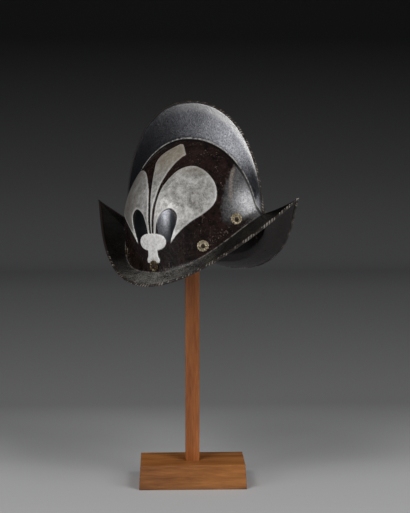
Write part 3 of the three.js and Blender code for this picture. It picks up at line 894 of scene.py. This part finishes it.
old_brass = Shades("aged brass")
tarnish = old_brass.cloud(0.003, 4)
age = old_brass.measure("age")
stain = old_brass.less(tarnish, old_brass.times(old_brass.less(age, 0.5), 0.3))
brass_tones = (0.36, (0.085, 0.06, 0.035)), (0.5, (0.4, 0.31, 0.19)), (0.66, (0.72, 0.62, 0.44))
old_brass.bump(old_brass.cloud(0.0007, 3), 0.0001)
brass_finish = old_brass.give(
    base_color=old_brass.blend(stain, *brass_tones),
    metallic=0.95,
    roughness=old_brass.blend(tarnish, (0.35, 0.52), (0.65, 0.36)),
)


def petals(radius, height, angle):
    """The rim's scallops and the stamped petals inside them."""
    wave = abs(math.cos(6 * angle))
    if radius > 7.4:
        radius *= 0.9 + 0.1 * wave ** 0.6
    if 3.6 < radius < 8:
        height += 0.35 * wave - 0.18
    return radius, height


# Rings of the disc from its hole out along the underside, 0.3 mm off the skull, and back over the top.
disc_rings = [1.8, 8.4, 8.6, 8.5, 7.9, 7.2, 6.3, 5.4, 4.6, 4.2, 3.8, 3.3, 2.7, 1.8, 1.8]
disc_heights = [0.3, 0.3, 0.45, 0.75, 1.0, 1.25, 1.35, 1.2, 0.85, 0.7, 1.1, 1.5, 1.5, 1.4, 0.3]
ages = {"1": 0.3, "2": 0.15, "3": 0.95, "4": 0.6, "5": 0.5}
for name, place, normal in seats():
    round_piece(f"brass_rosette_{name}", disc_heights, disc_rings, 72, place, normal,
                brass_finish, f"rosette_{name}", petals, ages[name[-1]])

# Rivets: dark iron, each with a low round head outside and its shank peened over inside. They held
# the leather band that the helmet's lining was sewn to.
dark_iron = Shades("dark iron")
pitting = dark_iron.cloud(0.0012, 4)
dark_iron.bump(pitting, 0.00015)
iron_finish = dark_iron.give(
    base_color=dark_iron.blend(pitting, (0.35, (0.025, 0.02, 0.017)), (0.7, (0.11, 0.085, 0.07))),
    metallic=0.85,
    roughness=dark_iron.blend(pitting, (0.3, 0.38), (0.7, 0.55)),
)
# Rings of the rivet from its end inside to the top of its head, with heights from the skull's outside.
head_rings = [0.9, 2.4, 2.9, 3.0, 3.0, 1.5, 1.5, 3.0, 3.0, 2.8, 2.4, 1.8, 1.1, 0.4]
head_heights = [-2.4, -2.4, -2.1, -1.8, -1.6, -1.6, 1.8, 1.8, 2.1, 2.75, 3.25, 3.6, 3.78, 3.8]
for name, place, normal in seats():
    round_piece(f"iron_rivet_{name}", head_heights, head_rings, 32, place, normal,
                iron_finish, f"rivet_{name}")

# Studio: a pale floor that runs up behind into a backdrop, painted darker towards the back as shade and
# with a painted shadow band behind the stand, a soft light on each side for the sheen on the steel, two
# soft fills from above, and a camera at the height of the crest.
paper = Shades("grey paper", roughness=0.85)
behind = paper.plus(paper.place_along("Y"), paper.place_along("Z"))
# Painted shade: greys falling off towards the back, with a darker band behind the stand as a painted
# shadow.
painted_shade_greys = (0.02, 0.46), (0.055, 0.4), (0.11, 0.23), (0.43, 0.3), (0.56, 0.26), (0.7, 0.12), (0.84, 0.015)
paper.give(base_color=paper.blend(paper.between(behind, 0, 5), *painted_shade_greys))
floor_end = 2.6
bend = 0.8
sweep = [(-4.0, 0.0), (floor_end, 0.0)]
for a in np.linspace(0.1, math.pi / 2, 12):
    sweep.append((floor_end + bend * math.sin(a), bend - bend * math.cos(a)))
sweep.append((floor_end + bend, 6.0))
backdrop_mesh = bpy.data.meshes.new("backdrop")
corners = [(side * 5, y, z) for y, z in sweep for side in (-1, 1)]
strips = [(2 * k, 2 * k + 1, 2 * k + 3, 2 * k + 2) for k in range(len(sweep) - 1)]
backdrop_mesh.from_pydata(corners, [], strips)
backdrop_mesh.materials.append(paper.material)
backdrop_mesh.shade_smooth()
backdrop = bpy.data.objects.new("backdrop", backdrop_mesh)
bpy.context.collection.objects.link(backdrop)

target = Vector((0, 0, 0.36))


def soft_light(name, place, size, power, mirrored=True):
    """A soft light that faces the helmet. One that isn't mirrored leaves no highlight on the metal."""
    data = bpy.data.lights.new(name, "AREA")
    data.shape = "RECTANGLE"
    data.size, data.size_y = size
    data.energy = power
    light = bpy.data.objects.new(name, data)
    light.location = place
    light.rotation_euler = (target - Vector(place)).to_track_quat("-Z", "Y").to_euler()
    light.visible_glossy = mirrored
    bpy.context.collection.objects.link(light)


soft_light("soft box on the left", (-1.36, -1.03, 0.86), (0.76, 0.76), 7)
soft_light("soft box on the right", (1.25, -1.0, 1.05), (0.8, 0.6), 7.5)
soft_light("fill above on the left", (-0.95, -1.2, 2.1), (0.8, 0.8), 21.5, False)
soft_light("fill above on the right", (1.05, -1.2, 2.1), (0.8, 0.8), 19.5, False)
world = bpy.data.worlds.new("room")
world.use_nodes = True
world.node_tree.nodes["Background"].inputs["Color"].default_value = (0.85, 0.9, 1, 1)
world.node_tree.nodes["Background"].inputs["Strength"].default_value = 0.06
bpy.context.scene.world = world

camera_data = bpy.data.cameras.new("camera")
camera_data.lens = 100
camera_data.sensor_width = 36
camera = bpy.data.objects.new("camera", camera_data)
camera.location = (-0.0522, -2.0893, 0.575)
camera.rotation_euler = (math.radians(90 - 6.386), 0, math.radians(-1.95))
bpy.context.collection.objects.link(camera)
bpy.context.scene.camera = camera
bpy.context.scene.view_settings.view_transform = "Standard"
